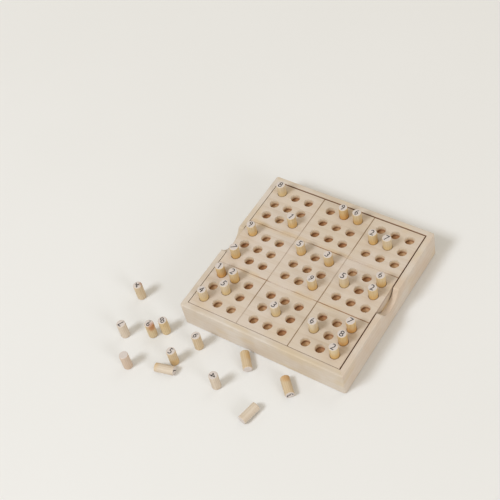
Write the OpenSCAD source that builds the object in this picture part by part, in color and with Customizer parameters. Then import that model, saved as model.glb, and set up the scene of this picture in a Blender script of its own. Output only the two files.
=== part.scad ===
// Wooden peg sudoku: a shallow tray, a lift-out board of nine by nine peg holes, and number pegs.
// The origin is the middle of the tray's underside. X runs along the front edge, Y to the back, Z up.

/* [Tray] */
// Outer side of the square tray
tray_side = 200; // [185:1:240]
// Height of the rim above the table
tray_h = 33; // [31:0.5:42]
// Thickness of each rim rail
rail_t = 6.5; // [5:0.25:8]
// Rounding of the rails' outer long edges
edge_r = 1.2; // [0.4:0.1:2]
// Rounding of the tray's four upright corners
corner_r = 2.6; // [2.2:0.1:4]
// Thickness of the bottom panel
panel_t = 3; // [2:0.5:4]
// Width of the rebate in each rail that takes the bottom panel
rebate_w = 3; // [2:0.25:4]
// Thickness of the strips that carry the board
cleat_t = 5; // [3:0.5:8]

/* [Finger notches] */
// Length of each notch along the top of its rail
notch_w = 35; // [28:1:50]
// Depth of each notch below the rim
notch_depth = 12; // [8:0.5:13]
// How much is taken off where a notch meets the top of its rail
notch_ease = 0.9; // [0.4:0.1:1.5]

/* [Board] */
// Thickness of the lift-out board
board_t = 11; // [9.5:0.5:13]
// Mean gap between the board and the rim on each side
board_gap = 0.75; // [0.5:0.05:1.2]
// How far the board lies pushed into the front left corner
board_push = 0.3; // [0:0.05:0.4]
// Chamfer round the board's top
board_chamfer = 0.5; // [0.2:0.1:1]
// From the board's edge to the middle of the outermost holes
edge_margin = 12.4; // [10:0.1:16]
// Extra distance between the blocks of three holes
block_gap = 11.2; // [6:0.1:14]
// Width of the grooves between the blocks
groove_w = 1.6; // [0.8:0.1:2.4]
// Depth of the grooves between the blocks
groove_depth = 0.9; // [0.4:0.1:1.5]

/* [Peg holes] */
// Depth of a hole down to its flat floor
hole_depth = 7; // [5:0.25:8]
// Diameter of the drill's centre mark in the floor
mark_d = 2.4; // [1:0.1:4]
// Depth of the drill's centre mark
mark_depth = 1; // [0.4:0.1:1.4]

/* [Pegs] */
// Diameter of a peg
peg_d = 10; // [8:0.25:11.5]
// Length of a peg
peg_len = 22; // [18:0.5:28]
// Rounding of a peg's two ends
peg_end_r = 0.9; // [0.3:0.1:1.5]
// Clearance round a peg in its hole
peg_clear = 0.45; // [0.3:0.05:0.6]

/* [Hidden] */
$fn = 48;
// One cut overrun for all cuts
overrun = 1;
// Clearance round the bottom panel in its rebate
panel_clear = 0.1;
// Clearance under a peg that lies on its side
lying_clear = 0.02;
// Spacing between stored pegs, side by side and end to end
stored_gap = 1;
stored_row_gap = 3;
// Largest turn of a stored peg out of its row
stored_turn = 1.8;

tray_in = tray_side - 2 * rail_t;
store_in = tray_in - 2 * cleat_t;
notch_r = (pow(notch_w / 2, 2) + pow(notch_depth, 2)) / (2 * notch_depth);
board_side = tray_in - 2 * board_gap;
board_z = tray_h - board_t;
// Blocks along a side, and holes along a block
blocks = 3;
cells = blocks * blocks;
pitch = (board_side - 2 * edge_margin - (blocks - 1) * block_gap) / (cells - 1);
hole_r = peg_d / 2 + peg_clear;

rail_wood = [0.86, 0.79, 0.70];
board_wood = [0.88, 0.82, 0.73];
peg_wood = [0.87, 0.76, 0.58];
panel_wood = [0.80, 0.69, 0.54];

// Numbers that stand in the board, row by row from the back, with a dot for an empty hole
given_rows = [
    "8...96...",
    "......27.",
    "..1......",
    "9..5.3..6",
    "......5.2",
    "7....9...",
    "12......7",
    ".5..3.6.8",
    "4.......2"
];
// Pegs left out on the table: letter, number, and place as shares of the tray's side
standing_shares = [
    ["a", 4, -0.825, -0.47], ["b", 7, -0.755, -0.72], ["c", 9, -0.615, -0.65],
    ["d", 8, -0.56, -0.60], ["e", 6, -0.34, -0.60], ["f", 5, -0.405, -0.74],
    ["g", 4, -0.12, -0.76], ["h", 3, -0.62, -0.875]
];
// The lying ones also have the heading of their numbered end, in degrees
lying_shares = [
    ["j", 1, -0.415, -0.81, 14], ["k", 8, -0.053, -0.572, 132],
    ["l", 3, 0.22, -0.605, -44], ["m", 1, 0.128, -0.826, 78]
];
// How many pegs of each number, one to nine, are put away under the board
stored_counts = [5, 5, 5, 6, 5, 5, 5, 5, 5];

// Row, column and number of each peg in the board
board_pegs = [
    for (row = [1 : cells], column = [1 : cells])
        let (number = given_rows[row - 1][column - 1])
            if (number != ".") [row, column, number]
];

function board_peg_name(p) = str("peg_", p[2], "_r", p[0], "c", p[1]);
function loose_peg_name(p) = str("loose_peg_", p[1], "_", p[0]);
function stored_name(number) = str("stored_pegs_", number);
// Middle of the hole in a row and column, from the board's own middle
function along(i) = (i - (cells - 1) / 2) * pitch + (floor(i / blocks) - (blocks - 1) / 2) * block_gap;
function hole_at(row, column) = [along(column - 1), -along(row - 1), 0];
// Middle of the groove after a block, from the board's own middle
function groove_at(i) = (along(i * blocks - 1) + along(i * blocks)) / 2;
// How many stored pegs come before those of a number
function stored_before(number) = number <= 1 ? 0 : stored_before(number - 1) + stored_counts[number - 2];

// Upright outline of a block with rounded upper and lower edges
module rounded_outline(w, h, r) {
    translate([r, 0]) square([w - 2 * r, h]);
    translate([0, r]) square([w, h - 2 * r]);
    for (x = [r, w - r], z = [r, h - r])
        translate([x, z]) circle(r);
}

// Half of that outline, for turning about its left side
module turning_outline(w, h, r) {
    intersection() {
        translate([-w, 0]) rounded_outline(2 * w, h, r);
        square([w, h]);
    }
}

// Tray's outer form: rounded long edges carried round the upright corners
module tray_form() {
    straight = tray_side - 2 * corner_r;
    for (turn = [0, 90])
        rotate([0, 0, turn])
            translate([-straight / 2, -tray_side / 2, 0])
                rotate([90, 0, 90])
                    linear_extrude(straight) rounded_outline(tray_side, tray_h, edge_r);
    for (turn = [0 : 90 : 270])
        rotate([0, 0, turn])
            translate([-straight / 2, -straight / 2, 0])
                rotate_extrude() turning_outline(corner_r, tray_h, edge_r);
}

// Square prism about the Z axis
module square_prism(side, z, h) {
    translate([-side / 2, -side / 2, z]) cube([side, side, h]);
}

// Side view of a finger notch: an arc with its two upper corners taken off
module notch_outline() {
    slope = tan(acos(1 - notch_depth / notch_r) / 2);
    low = notch_w / 2 - notch_ease;
    top = notch_w / 2 + notch_ease + overrun / slope;
    translate([0, tray_h - notch_depth + notch_r]) circle(notch_r);
    polygon([[-top, tray_h + overrun], [top, tray_h + overrun],
             [low, tray_h - 2 * notch_ease * slope], [-low, tray_h - 2 * notch_ease * slope]]);
}

// One side of the rim, mitred at both ends. A turn of 0 is the front rail.
module rail(turn, notched) {
    color(rail_wood)
        difference() {
            intersection() {
                tray_form();
                rotate([0, 0, turn])
                    linear_extrude(tray_h)
                        polygon([[0, 0], [-tray_side, -tray_side], [tray_side, -tray_side]]);
            }
            square_prism(tray_in, -overrun, tray_h + 2 * overrun);
            square_prism(tray_in + 2 * rebate_w, -overrun, panel_t + overrun);
            if (notched)
                rotate([0, 0, turn])
                    translate([0, overrun - tray_side / 2 + rail_t, 0])
                        rotate([90, 0, 0])
                            linear_extrude(rail_t + 2 * overrun) notch_outline();
        }
}

module front_rail() { rail(0, false); }
module right_rail() { rail(90, true); }
module back_rail() { rail(180, false); }
module left_rail() { rail(270, true); }

// Thin panel let into the rails from below
module bottom_panel() {
    color(panel_wood)
        square_prism(tray_in + 2 * (rebate_w - panel_clear), 0, panel_t);
}

// Strip glued inside a rail, which the board rests on
module cleat(turn, length) {
    color(panel_wood)
        rotate([0, 0, turn])
            translate([-length / 2, -tray_in / 2, panel_t])
                cube([length, cleat_t, board_z - panel_t]);
}

module front_cleat() { cleat(0, tray_in); }
module right_cleat() { cleat(90, store_in); }
module back_cleat() { cleat(180, tray_in); }
module left_cleat() { cleat(270, store_in); }

// Puts what is drawn about the board's top middle in its place in the tray
module on_board() {
    translate([-board_push, -board_push, tray_h]) children();
}

// Board blank below its own top, with a chamfer along one pair of top edges
module chamfered_blank() {
    half = board_side / 2;
    top = half - board_chamfer;
    translate([0, half, 0])
        rotate([90, 0, 0])
            linear_extrude(board_side)
                polygon([[-half, -board_t], [half, -board_t], [half, -board_chamfer],
                         [top, 0], [-top, 0], [-half, -board_chamfer]]);
}

// Drilled hole: a straight wall, a flat floor and the drill's centre mark
module peg_hole() {
    rotate_extrude()
        polygon([[0, -hole_depth - mark_depth], [mark_d / 2, -hole_depth], [hole_r, -hole_depth],
                 [hole_r, overrun], [0, overrun]]);
}

// V groove right across the board along X, running out through both edges
module groove() {
    length = board_side + 2 * overrun;
    wide = groove_w * (groove_depth + overrun) / groove_depth;
    translate([-length / 2, 0, 0])
        rotate([90, 0, 90])
            linear_extrude(length)
                polygon([[0, -groove_depth], [wide / 2, overrun], [-wide / 2, overrun]]);
}

module peg_board() {
    color(board_wood)
        on_board()
            difference() {
                intersection() {
                    chamfered_blank();
                    rotate([0, 0, 90]) chamfered_blank();
                }
                for (row = [1 : cells], column = [1 : cells])
                    translate(hole_at(row, column)) peg_hole();
                for (turn = [0, 90], i = [1 : blocks - 1])
                    rotate([0, 0, turn]) translate([0, groove_at(i), 0]) groove();
            }
}

// Peg standing on its blank end
module peg() {
    color(peg_wood)
        rotate_extrude() turning_outline(peg_d / 2, peg_len, peg_end_r);
}

// Peg lying on what is under it, about its own middle, with its numbered end towards +X
module lying_peg() {
    translate([-peg_len / 2, 0, peg_d / 2 + lying_clear])
        rotate([0, 90, 0]) peg();
}

module board_peg(p) {
    on_board()
        translate(hole_at(p[0], p[1]))
            translate([0, 0, -hole_depth]) peg();
}

module standing_peg(p) {
    translate([p[2] * tray_side, p[3] * tray_side, 0]) peg();
}

module fallen_peg(p) {
    translate([p[2] * tray_side, p[3] * tray_side, 0])
        rotate([0, 0, p[4]]) lying_peg();
}

// Pegs of one number in the rows put away at the back of the tray
module stored_pegs(number) {
    row_step = peg_len + stored_row_gap;
    per_row = floor(store_in / (peg_d + stored_gap));
    step = store_in / per_row;
    for (k = [0 : stored_counts[number - 1] - 1]) {
        i = stored_before(number) + k;
        x = (i % per_row + 1 / 2) * step - store_in / 2;
        y = store_in / 2 - (floor(i / per_row) + 1 / 2) * row_step;
        turn = stored_turn * sin(360 * i / blocks / blocks);
        translate([x, y, panel_t])
            rotate([0, 0, turn + 90 * pow(-1, i)]) lying_peg();
    }
}

front_rail();
back_rail();
left_rail();
right_rail();
bottom_panel();
front_cleat();
back_cleat();
left_cleat();
right_cleat();
peg_board();
for (p = board_pegs)
    board_peg(p);
for (p = standing_shares)
    standing_peg(p);
for (p = lying_shares)
    fallen_peg(p);
for (number = [1 : cells])
    stored_pegs(number);
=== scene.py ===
import math

import bpy
from mathutils import Matrix, Vector


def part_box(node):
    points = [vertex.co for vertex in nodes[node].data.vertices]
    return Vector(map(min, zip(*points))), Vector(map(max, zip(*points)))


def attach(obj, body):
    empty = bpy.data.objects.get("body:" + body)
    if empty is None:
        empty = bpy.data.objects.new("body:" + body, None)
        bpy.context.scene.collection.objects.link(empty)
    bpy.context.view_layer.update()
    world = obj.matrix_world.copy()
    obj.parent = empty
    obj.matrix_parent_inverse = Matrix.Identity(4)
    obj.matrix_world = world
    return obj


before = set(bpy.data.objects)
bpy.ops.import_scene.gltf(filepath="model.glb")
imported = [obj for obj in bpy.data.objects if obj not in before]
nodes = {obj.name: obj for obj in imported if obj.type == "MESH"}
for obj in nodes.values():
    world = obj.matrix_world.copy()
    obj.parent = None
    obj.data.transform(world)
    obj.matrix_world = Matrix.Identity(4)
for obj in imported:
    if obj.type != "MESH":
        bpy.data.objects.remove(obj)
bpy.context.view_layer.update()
scene = bpy.context.scene
mm = 0.001
print("frame loaded:", len(nodes), "pieces from the CAD")


def tone(red, green, blue):  # a colour as it looks on screen, 0 to 255
    def linear(v):
        v /= 255
        return v / 12.92 if v <= 0.04045 else ((v + 0.055) / 1.055) ** 2.4
    return (linear(red), linear(green), linear(blue), 1.0)


class Wire:  # one socket, so that shader maths reads as Python
    def __init__(self, sheet, socket):
        self.sheet, self.socket = sheet, socket

    def math(self, operation, *values):
        return self.sheet.add("Math", {"operation": operation}, values)

    def __add__(self, other):
        return self.math("ADD", self, other)

    def __sub__(self, other):
        return self.math("SUBTRACT", self, other)

    def __rsub__(self, other):
        return self.math("SUBTRACT", other, self)

    def __mul__(self, other):
        return self.math("MULTIPLY", self, other)

    def __truediv__(self, other):
        return self.math("DIVIDE", self, other)

    def __rtruediv__(self, other):
        return self.math("DIVIDE", other, self)

    def __pow__(self, other):
        return self.math("POWER", self, other)

    def __rpow__(self, other):
        return self.math("POWER", other, self)

    def __abs__(self):
        return self.math("ABSOLUTE", self)

    __radd__ = __add__
    __rmul__ = __mul__

    def most(self, other):
        return self.math("MAXIMUM", self, other)

    def least(self, other):
        return self.math("MINIMUM", self, other)

    def nearest(self):
        return self.math("ROUND", self)

    def fraction(self):
        return self.math("FRACT", self)

    def step(self, band, start=0.0):  # rises smoothly from 0 to 1 over a band counted from start
        inputs = {"Value": self, "From Min": start + band[0], "From Max": start + band[1]}
        return self.sheet.add("MapRange", {"interpolation_type": "SMOOTHSTEP"}, inputs)

    def vector(self, operation, other, out="Vector"):
        return self.sheet.add("VectorMath", {"operation": operation}, [self, other], out)

    def dot(self, other):
        return self.vector("DOT_PRODUCT", other, "Value")

    def distance(self, other):
        return self.vector("DISTANCE", other, "Value")


class Sheet:  # the node sheet of one finish
    def __init__(self, name):
        self.material = bpy.data.materials.new(name)
        self.material.use_nodes = True
        self.tree = self.material.node_tree
        self.tree.nodes.clear()

    def add(self, kind, settings=None, inputs=(), out=0):
        node = self.tree.nodes.new("ShaderNode" + kind)
        for key, value in (settings or {}).items():
            setattr(node, key, value)
        for key, value in inputs.items() if isinstance(inputs, dict) else enumerate(inputs):
            if isinstance(value, Wire):
                self.tree.links.new(value.socket, node.inputs[key])
            else:
                node.inputs[key].default_value = value
        return Wire(self, node.outputs[out]) if node.outputs else None

    def place(self):
        return self.add("TexCoord", None, (), "Object")

    def blend(self, factor, low, high):  # two colours
        return self.add("Mix", {"data_type": "RGBA", "clamp_factor": True}, {0: factor, 6: low, 7: high}, 2)

    def scaled(self, vector, factor):
        return self.add("VectorMath", {"operation": "SCALE"}, {"Vector": vector, "Scale": factor})

    def noise(self, vector, scale, detail=2.0, roughness=0.5, distortion=0.0):
        inputs = {"Vector": vector, "Scale": scale, "Detail": detail}
        inputs.update({"Roughness": roughness, "Distortion": distortion})
        return self.add("TexNoise", None, inputs)

    def bump(self, look, height, **inputs):
        inputs.update({"Strength": look["bump"], "Distance": look["bumpDepth"], "Height": height})
        return self.add("Bump", None, inputs)

    def finish(self, colour, rough, normal, shine):
        inputs = {"Base Color": colour, "Roughness": rough, "Normal": normal, "Specular IOR Level": shine}
        self.add("OutputMaterial", None, {"Surface": self.add("BsdfPrincipled", None, inputs)})
        return self.material


def wear(node, material):  # a CAD piece takes a finish
    slots = nodes[node].data.materials
    slots.clear()
    slots.append(material)


# Sanded bare wood: growth rings about a pith line, drawn-out fibres, flecks, clouds and rubbed edges
bareWood = {
    "along": (1, 0, 0), "pith": (0, 0.11, -0.16), "rings": 240.0, "sway": 26.0, "swaySize": 1.1,
    "stretch": 0.045, "fibre": 900.0, "fleckShare": 0.45,
    "cloud": 11.0, "blotchShare": 3.5, "blotchStretch": 0.35,
    "pale": tone(209, 194, 176), "warm": tone(204, 186, 163), "dark": tone(176, 150, 119),
    "fleck": tone(182, 158, 128), "blotch": tone(205, 185, 152), "rubbed": tone(219, 206, 189),
    "lateBand": (0.35, 0.95), "lateEnd": (0.95, 1.0), "fibreBand": (0.45, 0.75), "fleckBand": (0.58, 0.72),
    "cloudBand": (0.3, 0.7), "blotchBand": (0.48, 0.70), "edgeBand": (0.01, 0.12),
    "ringDepth": 0.13, "fibreDepth": 0.20, "fleckDepth": 0.18, "blotchDepth": 0.0, "rubDepth": 0.45,
    "soften": 0.4 * mm, "softenSamples": 6, "smooth": 0.52, "coarse": 0.70, "shine": 0.3,
    "bump": 0.22, "bumpDepth": 0.2 * mm, "fibreHeight": 0.7, "ringHeight": 0.3,
}


class Wood:
    def __init__(self, name, **changes):
        self.look = look = {**bareWood, **changes}
        self.sheet = sheet = Sheet(name)
        self.spot = sheet.place()
        along = Vector(look["along"]).normalized()
        lengthwise = self.spot.dot(along)
        across = self.spot.vector("SUBTRACT", sheet.scaled(along, lengthwise))

        def drawn(stretch):  # noise on this is drawn out along the grain
            return across.vector("ADD", sheet.scaled(along, lengthwise * stretch))

        fine, broad = drawn(look["stretch"]), drawn(look["blotchStretch"])
        sway = sheet.noise(fine, look["sway"], detail=3.0, roughness=0.55)
        ring = (across.distance(look["pith"]) * look["rings"] + sway * look["swaySize"]).fraction()
        self.late = ring.step(look["lateBand"]) * (1 - ring.step(look["lateEnd"]))
        self.fibre = sheet.noise(fine, look["fibre"], detail=4.0, roughness=0.65)
        fleck = sheet.noise(fine, look["fibre"] * look["fleckShare"], roughness=0.6, distortion=0.4)
        self.fleck = fleck.step(look["fleckBand"])
        self.cloud = sheet.noise(self.spot, look["cloud"], detail=3.0, roughness=0.6)
        blotch = sheet.noise(broad, look["cloud"] * look["blotchShare"], roughness=0.45, distortion=0.3)
        self.blotch = blotch.step(look["blotchBand"])
        self.facing = sheet.add("NewGeometry", None, (), "Normal")
        self.soft = sheet.add("Bevel", {"samples": look["softenSamples"]}, {"Radius": look["soften"]})
        self.edge = (1 - self.soft.dot(self.facing)).step(look["edgeBand"])

    def place(self):  # the three coordinates of a point
        return [self.spot.dot(axis) for axis in ((1, 0, 0), (0, 1, 0), (0, 0, 1))]

    def colour(self):
        look, blend = self.look, self.sheet.blend
        colour = blend(self.cloud.step(look["cloudBand"]), look["pale"], look["warm"])
        colour = blend(self.blotch * look["blotchDepth"], colour, look["blotch"])
        colour = blend(self.late * look["ringDepth"], colour, look["dark"])
        colour = blend(self.fibre.step(look["fibreBand"]) * look["fibreDepth"], colour, look["dark"])
        colour = blend(self.fleck * look["fleckDepth"], colour, look["fleck"])
        return blend(self.edge * look["rubDepth"], colour, look["rubbed"])

    def finish(self, colour, dull=0.0):
        look = self.look
        height = self.fibre * look["fibreHeight"] + self.late * look["ringHeight"]
        rough = self.fibre * (look["coarse"] - look["smooth"]) + look["smooth"] + dull
        normal = self.sheet.bump(look, height, Normal=self.soft)
        return self.sheet.finish(colour, rough, normal, look["shine"])


# Tray: four rails, the strips that carry the board, and the bottom panel
acrossX, acrossY = (1, 0, 0), (0, 1, 0)
railLook = {
    "inside": 93.5 * mm, "top": 33 * mm,
    "wood": {
        "pale": tone(211, 201, 190), "warm": tone(200, 184, 164), "cloud": 21.0,
        "ringDepth": 0.09, "fibreDepth": 0.14, "fleckDepth": 0.12, "blotchDepth": 0.5,
    },
    "peachy": {"warm": tone(205, 185, 165)},
    # painted shade for the gap beside the board, on the back rail's inner face
    "shade": tone(150, 104, 68), "shadeDepth": 0.85,
    "shadeReach": (0.02 * mm, 0.3 * mm), "shadeRise": (-4 * mm, -1 * mm),
}


def railFinish(name, along, pith, shaded=False, **changes):
    r = railLook
    wood = Wood(name, along=along, pith=pith, **{**r["wood"], **changes})
    colour = wood.colour()
    if shaded:  # painted shade: brown on the inner face just below the top, where the gap beside the board lies in shadow
        x, y, z = wood.place()
        inner = 1 - abs(x).most(abs(y)).step(r["shadeReach"], r["inside"])
        gapShade = inner * z.step(r["shadeRise"], r["top"]) * r["shadeDepth"]
        colour = wood.sheet.blend(gapShade, colour, r["shade"])
    return wood.finish(colour)


stripLook = {"pale": tone(209, 186, 150), "warm": tone(202, 175, 135)}
panelLook = {
    "pale": tone(205, 180, 141), "warm": tone(196, 167, 124), "dark": tone(161, 126, 84),
    "pith": (0, 0.4, -0.3), "rings": 95.0, "swaySize": 3.4, "ringDepth": 0.22,
}


def plainFinish(name, **look):
    wood = Wood(name, **look)
    return wood.finish(wood.colour())


wear("front_rail", railFinish("frontRailWood", acrossX, (0, -0.22, -0.12)))
wear("back_rail", railFinish("backRailWood", acrossX, (0, 0.31, -0.15), shaded=True))
wear("left_rail", railFinish("leftRailWood", acrossY, (-0.27, 0, -0.11)))
wear("right_rail", railFinish("rightRailWood", acrossY, (0.25, 0, -0.10), **railLook["peachy"]))
endStrip = plainFinish("endStripWood", along=acrossX, pith=(0, 0.2, -0.1), **stripLook)
sideStrip = plainFinish("sideStripWood", along=acrossY, pith=(0.3, 0, 0.1), **stripLook)
for end in ("front", "back"):
    wear(end + "_cleat", endStrip)
for side in ("left", "right"):
    wear(side + "_cleat", sideStrip)
wear("bottom_panel", plainFinish("panelWood", **panelLook))
print("tray finished")

# Drilled board: its finish knows where the holes and grooves are
boardLook = {
    "middle": -0.3 * mm, "top": 33 * mm, "half": 92.75 * mm, "grooveDepth": 0.9 * mm,
    "perBlock": 3, "pitch": 17.2875 * mm, "blockGap": 11.2 * mm,
    "holeRadius": 5.45 * mm, "holeDepth": 7 * mm,
    "wood": {
        "pale": tone(209, 196, 184), "warm": tone(205, 190, 172),
        "pith": (0, -0.18, -0.30), "rings": 150.0, "cloud": 14.0,
    },
    "honey": tone(202, 171, 116), "patchScale": 34.0,
    "besideReach": (0.4 * mm, 6 * mm), "besidePatch": (0.42, 0.66), "besideDepth": 0.4,
    "outerReach": (-26 * mm, 0.0), "outerPatch": (0.46, 0.68), "outerDepth": 0.25,
    "longCut": tone(160, 134, 106), "longWidth": (0.35 * mm, 0.9 * mm),
    # the cross grooves' brown, darkened with painted shade on their walls
    "crossCutAndShade": tone(152, 108, 66), "crossWidth": (0.35 * mm, 0.95 * mm),
    "stretchScale": 24.0, "stretchBand": (0.44, 0.6), "stretchDepth": 0.75, "stretchLeast": 0.1,
    "cutStart": (0.02 * mm, 0.4 * mm), "cutEnd": (0.05 * mm, 0.2 * mm),
    # painted shade on the board's edge in the gap beside the rim, less of it where the notches let light in
    "edgeShade": tone(116, 74, 46), "edgeShadeDepth": 0.9, "edgeShadeReach": (-0.5 * mm, -0.3 * mm),
    "backLeast": 0.35, "backStretch": 0.6, "arrisReach": (-0.4 * mm, -0.1 * mm), "arrisDepth": 0.7,
    "edgeShadeFade": (1.2 * mm, 3.8 * mm), "fadeDepth": 0.74,
    "notchLitLength": (15.4 * mm, 22 * mm), "notchLitReach": (-2 * mm, -1 * mm), "notchLitDepth": 0.55,
    # hole walls warmer with depth as painted bounce light; painted shade where wall meets floor
    "mouth": tone(226, 213, 194), "deepWallBounce": tone(228, 208, 178), "wallFade": (1 * mm, 5 * mm),
    "floor": tone(201, 167, 130), "darkerFloor": tone(178, 133, 95), "floorPatch": (0.38, 0.62),
    "floorStart": (-0.2 * mm, -0.02 * mm), "mark": tone(148, 96, 60), "markDepth": 0.7,
    "markFall": (4.6 * mm, 6.8 * mm), "markRing": (3.4 * mm, 5.3 * mm),
    "holeReach": (0.05 * mm, 0.2 * mm), "holeStart": (0.02 * mm, 0.2 * mm), "holeDull": 0.12,
}


def boardFinish():
    b = boardLook
    wood = Wood("boardWood", **b["wood"])
    sheet, colour = wood.sheet, wood.colour()
    x, y, z = wood.place()
    x, y, depth = x - b["middle"], y - b["middle"], b["top"] - z
    block = b["perBlock"] * b["pitch"] + b["blockGap"]

    def whole(v):  # -1, 0 or 1, whichever is nearest
        return v.nearest().most(-1).least(1)

    def toHole(v):  # signed way along one axis to the nearest hole's middle
        inside = v - whole(v / block) * block
        return inside - whole(inside / b["pitch"]) * b["pitch"]

    def toGroove(v):
        return abs(abs(v) - block / 2)

    holeX, holeY = toHole(x), toHole(y)
    radius = (holeX * holeX + holeY * holeY) ** 0.5
    inHole = (1 - radius.step(b["holeReach"], b["holeRadius"])) * depth.step(b["holeStart"])
    edge = abs(x).most(abs(y))

    # Honey-coloured bands beside the cross grooves and towards the edges
    patches = sheet.noise(wood.spot, b["patchScale"])
    beside = (1 - toGroove(y).step(b["besideReach"])) * patches.step(b["besidePatch"]) * b["besideDepth"]
    outer = edge.step(b["outerReach"], b["half"]) * patches.step(b["outerPatch"]) * b["outerDepth"]
    colour = sheet.blend(beside + outer, colour, b["honey"])

    # Grooves: the brown of the cut, the cross grooves darker with painted shade on their walls, darker in
    # some stretches than in others
    stretches = sheet.noise(wood.spot, b["stretchScale"], detail=1.0).step(b["stretchBand"])
    stretches = stretches * b["stretchDepth"] + b["stretchLeast"]
    inCut = depth.step(b["cutStart"]) * (1 - depth.step(b["cutEnd"], b["grooveDepth"])) * stretches
    colour = sheet.blend((1 - toGroove(y).step(b["crossWidth"])) * inCut, colour, b["crossCutAndShade"])
    colour = sheet.blend((1 - toGroove(x).step(b["longWidth"])) * inCut, colour, b["longCut"])

    # Painted shade: a dark brown line on the board's edge where the gap beside the rim lies in shadow: full
    # on the right, in stretches at the back, weaker all round, and paler where the notches let light onto
    # the edge
    edgeShade = x.step(b["edgeShadeReach"], b["half"])
    edgeShade = edgeShade.most(y.step(b["edgeShadeReach"], b["half"]) * (stretches * b["backStretch"] + b["backLeast"]))
    edgeShade = edgeShade.most(edge.step(b["arrisReach"], b["half"]) * b["arrisDepth"])
    edgeShade = edgeShade * (b["edgeShadeDepth"] - depth.step(b["edgeShadeFade"]) * b["fadeDepth"])
    notchLit = (1 - abs(y).step(b["notchLitLength"])) * abs(x).step(b["notchLitReach"], b["half"])
    colour = sheet.blend(edgeShade * (1 - notchLit * b["notchLitDepth"]), colour, b["edgeShade"])

    # Drilled walls and floor: walls warmer with depth as painted bounce light, floor browner in patches,
    # and painted shade darkest where wall and floor meet
    drilled = sheet.blend(depth.step(b["wallFade"]), b["mouth"], b["deepWallBounce"])
    floorColour = sheet.blend(patches.step(b["floorPatch"]), b["floor"], b["darkerFloor"])
    drilled = sheet.blend(depth.step(b["floorStart"], b["holeDepth"]), drilled, floorColour)
    paintedShade = depth.step(b["markFall"]) * radius.step(b["markRing"]) * b["markDepth"]
    colour = sheet.blend(inHole, colour, sheet.blend(paintedShade, drilled, b["mark"]))
    return wood.finish(colour, inHole * b["holeDull"])


wear("peg_board", boardFinish())
print("board finished")

# Number pegs: dowel with pale sawn ends
pegLook = {
    "length": 22 * mm, "radius": 5 * mm, "boardTop": 33 * mm,
    "wood": {
        "pith": (0.013, 0.017, -0.02), "rings": 520.0, "sway": 60.0, "stretch": 0.07, "fibre": 1500.0,
        "cloud": 38.0, "ringDepth": 0.3, "rubDepth": 0.2, "soften": 0.25 * mm,
    },
    "cream": {"pale": tone(214, 199, 174), "warm": tone(208, 189, 157), "dark": tone(180, 152, 112)},
    "honey": {"pale": tone(212, 193, 158), "warm": tone(207, 182, 138), "dark": tone(176, 142, 96)},
    "amber": {"pale": tone(210, 186, 142), "warm": tone(204, 172, 120), "dark": tone(168, 126, 78)},
    "bone": {"pale": tone(214, 201, 185), "warm": tone(208, 192, 172), "dark": tone(184, 161, 134)},
    "rosy": {"pale": tone(208, 189, 172), "warm": tone(203, 181, 161), "dark": tone(180, 151, 126)},
    "sand": {"pale": tone(208, 189, 160), "warm": tone(202, 179, 144), "dark": tone(174, 143, 102)},
    "end": tone(209, 199, 193), "sawnBand": (0.55, 0.93), "endRings": 0.15,
    "endPore": tone(186, 173, 163), "poreScale": 2600.0, "poreBand": (0.5, 0.72), "poreDepth": 0.6,
    # painted shade and warm bounce light towards the foot of board pegs, and a painted contact shadow with
    # grime at the hole's mouth
    "foot": {"cream": tone(206, 178, 126), "honey": tone(205, 164, 98), "amber": tone(202, 149, 80)},
    "footFade": (1 * mm, 12 * mm), "footDepth": 0.85,
    "contactShadeAndGrime": tone(140, 94, 54), "contactShadeAndGrimeDepth": 0.42,
    "contactLineStart": (-4 * mm, -0.8 * mm), "contactLineEnd": (0.1 * mm, 0.9 * mm),
    "stainFray": 0.5, "stainBand": (0.3, 1.0),
}


def pegFinish(name, along, tint, inBoard=False, stain=None):
    p, look = pegLook, pegLook[tint]
    wood = Wood(name, along=along, fleck=look["dark"], **p["wood"], **look)
    sheet, colour = wood.sheet, wood.colour()
    sawn = abs(wood.facing.dot(Vector(along).normalized())).step(p["sawnBand"])
    pores = sheet.noise(wood.spot, p["poreScale"], roughness=0.6).step(p["poreBand"])
    endColour = sheet.blend(pores * p["poreDepth"] + wood.late * p["endRings"], p["end"], p["endPore"])
    colour = sheet.blend(sawn, colour, endColour)
    if inBoard:  # painted shade and warm bounce light towards the foot, with a painted contact shadow and grime line where the peg meets the mouth of its hole
        z, top = wood.place()[2], p["boardTop"]
        paintedShade = (1 - z.step(p["footFade"], top)) * (1 - sawn) * p["footDepth"]
        colour = sheet.blend(paintedShade, colour, p["foot"][tint])
        contactShadeAndGrime = z.step(p["contactLineStart"], top) * (1 - z.step(p["contactLineEnd"], top)) * p["contactShadeAndGrimeDepth"]
        colour = sheet.blend(contactShadeAndGrime, colour, p["contactShadeAndGrime"])
    if stain:  # a knot or a streak of darker wood
        away = wood.spot.distance(stain["at"]) / stain["size"] + (wood.fibre - 0.5) * p["stainFray"]
        colour = sheet.blend((1 - away.step(p["stainBand"])) * stain["depth"], colour, stain["colour"])
    return wood.finish(colour)


# Numbers printed on the sawn ends
inkLook = {
    "height": 7.0 * mm, "depth": 0.02 * mm, "curveSteps": 6,
    "one": ((-0.5, 3.5), (0.5, 3.5), (0.5, -3.5), (-0.5, -3.5), (-0.5, 2.4), (-1.6, 1.5), (-1.6, 2.5)),
    "oneFaces": ((0, 4, 3, 2, 1), (0, 6, 5, 4)),  # its stem and its flag
    "barWidth": 2.3 * mm, "barDepth": 0.5 * mm, "barGap": 0.5 * mm, "barSteps": 6,
    "shrinkForBar": 0.9, "riseForBar": 0.45 * mm,
    "dense": tone(38, 34, 36), "thin": tone(92, 84, 80),
    "coverScale": 1400.0, "coverBand": (0.45, 0.8), "coverDepth": 0.5,
    "bump": 0.1, "bumpDepth": 0.1 * mm, "smooth": 0.5, "coarse": 0.7, "shine": 0.3,
}


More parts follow.
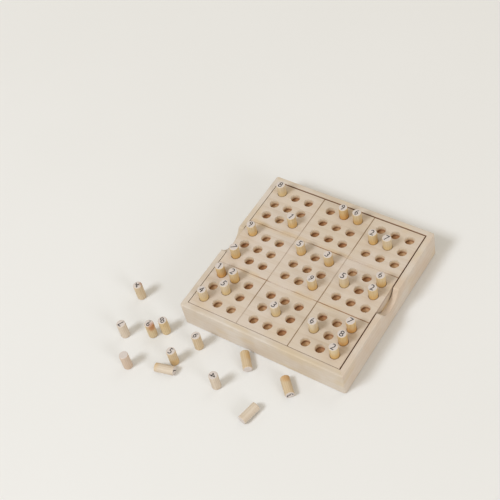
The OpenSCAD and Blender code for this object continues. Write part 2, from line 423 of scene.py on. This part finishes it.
def inkFinish():
    k, sheet = inkLook, Sheet("printInk")
    cover = sheet.noise(sheet.place(), k["coverScale"], detail=3.0, roughness=0.6)
    colour = sheet.blend(cover.step(k["coverBand"]) * k["coverDepth"], k["dense"], k["thin"])
    rough = cover * (k["coarse"] - k["smooth"]) + k["smooth"]
    return sheet.finish(colour, rough, sheet.bump(k, cover), k["shine"])


ink = inkFinish()
outlines = {}


def flatNumber(number):  # points and faces of one number, facing +Z
    if number == 1:
        return [Vector((x, y, 0)) for x, y in inkLook["one"]], list(inkLook["oneFaces"])
    curve = bpy.data.curves.new("number", "FONT")
    curve.body = str(number)
    curve.resolution_u = inkLook["curveSteps"]
    holder = bpy.data.objects.new("number", curve)
    scene.collection.objects.link(holder)
    flat = holder.evaluated_get(bpy.context.evaluated_depsgraph_get()).to_mesh()
    points = [v.co.copy() for v in flat.vertices]
    faces = [tuple(p.vertices) for p in flat.polygons]
    bpy.data.objects.remove(holder)
    bpy.data.curves.remove(curve)
    return points, faces


def bar(top):  # round-ended bar under a number, with its top edge at this level
    r, steps = inkLook["barDepth"] / 2, inkLook["barSteps"]
    half, points = inkLook["barWidth"] / 2 - r, []
    for side in (1, -1):
        for k in range(steps + 1):
            a = math.radians(180 * k / steps - 90 * side)
            points.append(Vector((half * side + r * math.cos(a), top - r + r * math.sin(a), 0)))
    return points


def numberShape(number):  # a thin layer of ink about its own middle
    if number in outlines:
        return outlines[number]
    points, faces = flatNumber(number)
    low = Vector((min(p.x for p in points), min(p.y for p in points), 0))
    high = Vector((max(p.x for p in points), max(p.y for p in points), 0))
    scale = inkLook["height"] / (high.y - low.y)
    points = [(p - (low + high) / 2) * scale for p in points]
    if number in (6, 9):  # a bar underneath tells six from nine
        points = [p * inkLook["shrinkForBar"] + Vector((0, inkLook["riseForBar"], 0)) for p in points]
        start = len(points)
        points += bar(min(p.y for p in points) - inkLook["barGap"])
        faces.append(tuple(range(start, len(points))))
    count, depth = len(points), Vector((0, 0, inkLook["depth"]))
    edges = {(face[i - 1], face[i]) for face in faces for i in range(len(face))}
    walls = [(b, a, a + count, b + count) for a, b in sorted(edges) if (b, a) not in edges]
    under = [tuple(i + count for i in reversed(face)) for face in faces]
    outlines[number] = [p + depth for p in points] + [p - depth for p in points], faces + under + walls
    return outlines[number]


def printNumbers(name, marks, body):  # marks are (number, matrix that puts its shape on a peg)
    points, faces = [], []
    for number, place in marks:
        outline, polygons = numberShape(number)
        faces += [tuple(len(points) + i for i in polygon) for polygon in polygons]
        points += [place @ p for p in outline]
    mesh = bpy.data.meshes.new(name)
    mesh.from_pydata(points, [], faces)
    mesh.materials.append(ink)
    mesh.update()
    piece = bpy.data.objects.new(name, mesh)
    scene.collection.objects.link(piece)
    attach(piece, body)


def onTop(middle, heading):
    return Matrix.Translation(middle) @ Matrix.Rotation(math.radians(heading), 4, "Z")


def compass(heading):  # level direction, counted in degrees from +X
    return Vector((math.cos(math.radians(heading)), math.sin(math.radians(heading)), 0))


def onEnd(middle, heading, roll):  # the numbered end of a lying peg
    out = compass(heading)
    right = Vector((-out.y, out.x, 0))
    turn = Matrix((right, Vector((0, 0, 1)), out)).transposed().to_4x4()
    at = Vector(middle) + out * pegLook["length"] / 2
    return Matrix.Translation(at) @ turn @ Matrix.Rotation(math.radians(roll), 4, "Z")


# Tint of each standing peg, and how far its number is turned from facing the front edge, in degrees
boardPegs = {
    "peg_8_r1c1": ("cream", -4), "peg_9_r1c5": ("amber", 8), "peg_6_r1c6": ("honey", -3),
    "peg_2_r2c7": ("honey", 3), "peg_7_r2c8": ("cream", -6), "peg_1_r3c3": ("honey", -16),
    "peg_9_r4c1": ("honey", 5), "peg_5_r4c4": ("honey", -7), "peg_3_r4c6": ("honey", -12),
    "peg_6_r4c9": ("honey", 6), "peg_5_r5c7": ("cream", -3), "peg_2_r5c9": ("honey", 4),
    "peg_7_r6c1": ("honey", -32), "peg_9_r6c6": ("honey", -14), "peg_1_r7c1": ("amber", 1),
    "peg_2_r7c2": ("honey", -4), "peg_7_r7c9": ("amber", -9), "peg_5_r8c2": ("cream", -15),
    "peg_3_r8c5": ("cream", -10), "peg_6_r8c7": ("cream", 6), "peg_8_r8c9": ("amber", 2),
    "peg_4_r9c1": ("cream", -2), "peg_2_r9c9": ("honey", -5),
}
standingPegs = {
    "loose_peg_4_a": ("sand", -140), "loose_peg_7_b": ("bone", 176), "loose_peg_9_c": ("honey", 184),
    "loose_peg_8_d": ("honey", 44), "loose_peg_6_e": ("sand", -22), "loose_peg_5_f": ("sand", -2),
    "loose_peg_4_g": ("bone", -88), "loose_peg_3_h": ("rosy", None),  # the last one stands on its number
}
# Tint, heading of the numbered end, and roll of the number on it
lyingPegs = {
    "loose_peg_1_j": ("bone", 14, 35), "loose_peg_8_k": ("sand", 132, -60),
    "loose_peg_3_l": ("sand", -44, 110), "loose_peg_1_m": ("bone", 78, 20),
}
# Way from a peg's middle to its knot or streak and how far that spreads, in mm, then strength and colour
pegStains = {
    "loose_peg_4_a": ((3, 4, 11), 4.5, 0.7, tone(158, 108, 70)),
    "loose_peg_9_c": ((5.5, -1, 8), 8, 0.75, tone(176, 112, 66)),
    "loose_peg_5_f": ((5, -3, -6), 9, 0.6, tone(203, 164, 102)),
    "loose_peg_1_j": ((-10, -2, 2), 7, 0.55, tone(204, 168, 108)),
    "loose_peg_8_k": ((2, 7, 3), 9, 0.6, tone(203, 164, 102)),
    "loose_peg_3_l": ((-5, 7, 5), 8, 0.65, tone(192, 144, 86)),
}


def stainOf(node):
    if node not in pegStains:
        return None
    away, size, depth, colour = pegStains[node]
    low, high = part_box(node)
    return {"at": (low + high) / 2 + Vector(away) * mm, "size": size * mm, "depth": depth, "colour": colour}


def numberOf(node):
    return next(int(word) for word in node.split("_") if word.isdigit())


upright = (0, 0, 1)
boardTints = {t: pegFinish("boardPeg_" + t, upright, t, inBoard=True) for t in ("cream", "honey", "amber")}
looseTints = {t: pegFinish("loosePeg_" + t, upright, t) for t in ("bone", "rosy", "sand", "honey")}
for pegs, tints in ((boardPegs, boardTints), (standingPegs, looseTints)):
    for node, (tint, turn) in pegs.items():
        stain, finish = stainOf(node), tints[tint]
        if stain:
            finish = pegFinish("streakedPeg_" + node[-1], upright, tint, stain=stain)
        wear(node, finish)
        low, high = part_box(node)
        x, y = (low.x + high.x) / 2, (low.y + high.y) / 2
        if turn is None:
            place = Matrix.Translation((x, y, low.z)) @ Matrix.Rotation(math.pi, 4, "X")
        else:
            place = onTop((x, y, high.z), turn)
        printNumbers("number_on_" + node, [(numberOf(node), place)], node + "_body")
for node, (tint, heading, roll) in lyingPegs.items():
    wear(node, pegFinish("lyingPeg_" + node[-1], compass(heading), tint, stain=stainOf(node)))
    low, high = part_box(node)
    place = onEnd((low + high) / 2, heading, roll)
    printNumbers("number_on_" + node, [(numberOf(node), place)], node + "_body")
print("pegs in view finished:", len(boardPegs) + len(standingPegs) + len(lyingPegs))

# Spare pegs put away under the board, numbers to the back and to the front by turns
storeLook = {
    "counts": [5, 5, 5, 6, 5, 5, 5, 5, 5], "inside": 177 * mm, "perRow": 16, "rowStep": 25 * mm,
    "floor": 3.02 * mm, "sway": 1.8, "swayStep": 40, "rollStep": 67,
}
storedFinish = pegFinish("storedPeg", acrossY, "honey")
index = 0
for number, count in enumerate(storeLook["counts"], 1):
    wear("stored_pegs_%d" % number, storedFinish)
    marks = []
    for _ in range(count):
        row, column = divmod(index, storeLook["perRow"])
        x = (column + 0.5) * storeLook["inside"] / storeLook["perRow"] - storeLook["inside"] / 2
        y = storeLook["inside"] / 2 - (row + 0.5) * storeLook["rowStep"]
        sway = storeLook["sway"] * math.sin(math.radians(storeLook["swayStep"] * index))
        heading = sway + 90 * (-1) ** index
        middle = (x, y, storeLook["floor"] + pegLook["radius"])
        marks.append((number, onEnd(middle, heading, storeLook["rollStep"] * index)))
        index += 1
    printNumbers("numbers_on_stored_%d" % number, marks, "tray")
print("stored pegs finished:", index)

# Floor, lamps and camera
floorLook = {
    "half": 25.0, "drop": 0.1 * mm,
    "pale": tone(230, 229, 228), "shade": tone(226, 225, 223), "cloudScale": 3.0, "toothScale": 900.0,
    "bump": 0.05, "bumpDepth": 0.2 * mm, "smooth": 0.8, "coarse": 0.9, "shine": 0.1,
}


def floorFinish():
    f, sheet = floorLook, Sheet("floorPaper")
    spot = sheet.place()
    tooth = sheet.noise(spot, f["toothScale"], roughness=0.6)
    colour = sheet.blend(sheet.noise(spot, f["cloudScale"], detail=3.0), f["pale"], f["shade"])
    rough = tooth * (f["coarse"] - f["smooth"]) + f["smooth"]
    return sheet.finish(colour, rough, sheet.bump(f, tooth), f["shine"])


half = floorLook["half"]
corners = [(-half, -half, 0), (half, -half, 0), (half, half, 0), (-half, half, 0)]
floorMesh = bpy.data.meshes.new("floor")
floorMesh.from_pydata(corners, [], [(0, 1, 2, 3)])
floorMesh.materials.append(floorFinish())
floor = bpy.data.objects.new("floor", floorMesh)
floor.location.z = -floorLook["drop"]
scene.collection.objects.link(floor)

lampAim = Vector((-0.02, -0.02, 0.02))
lampLook = {
    "key": {"at": (-1.3, -2.9, 3.6), "size": 1.3, "power": 124.0, "colour": (0.87, 0.93, 1.0)},
    "fill": {"at": (6.2, -1.9, 2.6), "size": 2.6, "power": 130.0, "colour": (0.90, 0.94, 1.0)},
    "back": {"at": (0.4, 2.7, 3.5), "size": 2.4, "power": 14.0, "colour": (1.0, 0.97, 0.93)},
}
for name, lamp in lampLook.items():
    light = bpy.data.lights.new(name, "AREA")
    light.energy, light.size, light.color = lamp["power"], lamp["size"], lamp["colour"]
    holder = bpy.data.objects.new(name, light)
    holder.location = lamp["at"]
    holder.rotation_euler = (lampAim - Vector(lamp["at"])).to_track_quat("-Z", "Y").to_euler()
    scene.collection.objects.link(holder)

worldLook = {"Color": (1.0, 0.925, 0.785, 1), "Strength": 0.58}
world = bpy.data.worlds.new("studio")
world.use_nodes = True
for socket, value in worldLook.items():
    world.node_tree.nodes["Background"].inputs[socket].default_value = value
scene.world = world

cameraLook = {
    "azimuth": 44.36, "elevation": 50.58, "roll": 15.0,
    "distance": 1.2, "aim": (-79.9 * mm, 4.7 * mm, 16.5 * mm),
    "focalPixels": 1079.0, "frame": 500, "sensor": 36.0, "near": 0.01, "far": 20.0,
}


def setCamera(c):
    a, e, roll = (math.radians(c[k]) for k in ("azimuth", "elevation", "roll"))
    back = Vector((math.sin(a) * math.cos(e), -math.cos(a) * math.cos(e), math.sin(e)))
    level = Vector((math.cos(a), math.sin(a), 0))
    above = back.cross(level)
    right = math.cos(roll) * level - math.sin(roll) * above
    up = math.sin(roll) * level + math.cos(roll) * above
    data = bpy.data.cameras.new("view")
    data.sensor_width = c["sensor"]
    data.lens = c["focalPixels"] / c["frame"] * c["sensor"]
    data.clip_start, data.clip_end = c["near"], c["far"]
    camera = bpy.data.objects.new("view", data)
    turn = Matrix((right, up, back)).transposed().to_4x4()
    camera.matrix_world = Matrix.Translation(Vector(c["aim"]) + back * c["distance"]) @ turn
    scene.collection.objects.link(camera)
    scene.camera = camera


setCamera(cameraLook)
scene.view_settings.view_transform = "Standard"
print("stage set")
